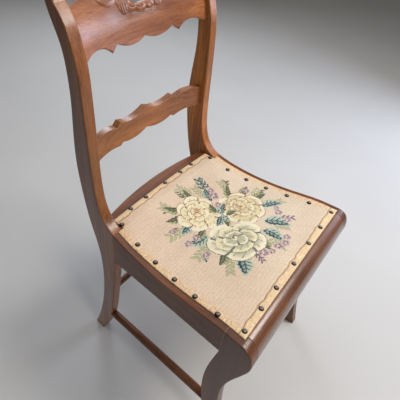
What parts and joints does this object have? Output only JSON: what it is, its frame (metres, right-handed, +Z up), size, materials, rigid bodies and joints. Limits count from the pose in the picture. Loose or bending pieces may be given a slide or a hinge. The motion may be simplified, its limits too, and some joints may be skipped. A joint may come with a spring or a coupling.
{
  "type": "dining side chair",
  "caption": "Carved wooden side chair with sweeping sabre legs, a bowed scalloped back with a pierced crest, round stretchers and a nailed needlework seat.",
  "frame": {"origin": "on the floor under the middle of the chair's box", "axes": "+Z up, the sitter faces -Y, +X is the sitter's left"},
  "size_m": [0.4186, 0.5002, 0.8621],
  "materials": {
    "frame_wood": "satin varnish over a red-brown stain",
    "block_wood": "bare sawn",
    "webbing": "coarse jute weave",
    "hessian": "open plain weave",
    "stuffing": "loose fibre",
    "needlework": "matt wool stitches on canvas",
    "nail_brass": "dark antique",
    "screw_steel": "dull",
    "tack_steel": "blued"
  },
  "bodies": {
    "root": {"back_slat": "frame_wood", "base_cloth": "hessian", "block_screws": "screw_steel", "corner_block_front_left": "block_wood", "corner_block_front_right": "block_wood", "corner_block_rear_left": "block_wood", "corner_block_rear_right": "block_wood", "crest_rail": "frame_wood", "decorative_nails": "nail_brass", "front_leg_left": "frame_wood", "front_leg_right": "frame_wood", "front_rail": "frame_wood", "rail_dowels": "block_wood", "rear_post_left": "frame_wood", "rear_post_right": "frame_wood", "rear_seat_rail": "frame_wood", "rear_stretcher": "frame_wood", "seat_cover": "needlework", "seat_padding": "stuffing", "side_rail_left": "frame_wood", "side_rail_right": "frame_wood", "side_stretcher_left": "frame_wood", "side_stretcher_right": "frame_wood", "webbing_cross_1": "webbing", "webbing_cross_2": "webbing", "webbing_cross_3": "webbing", "webbing_long_1": "webbing", "webbing_long_2": "webbing", "webbing_long_3": "webbing", "webbing_long_4": "webbing", "webbing_tacks": "tack_steel"}
  },
  "joints": []
}
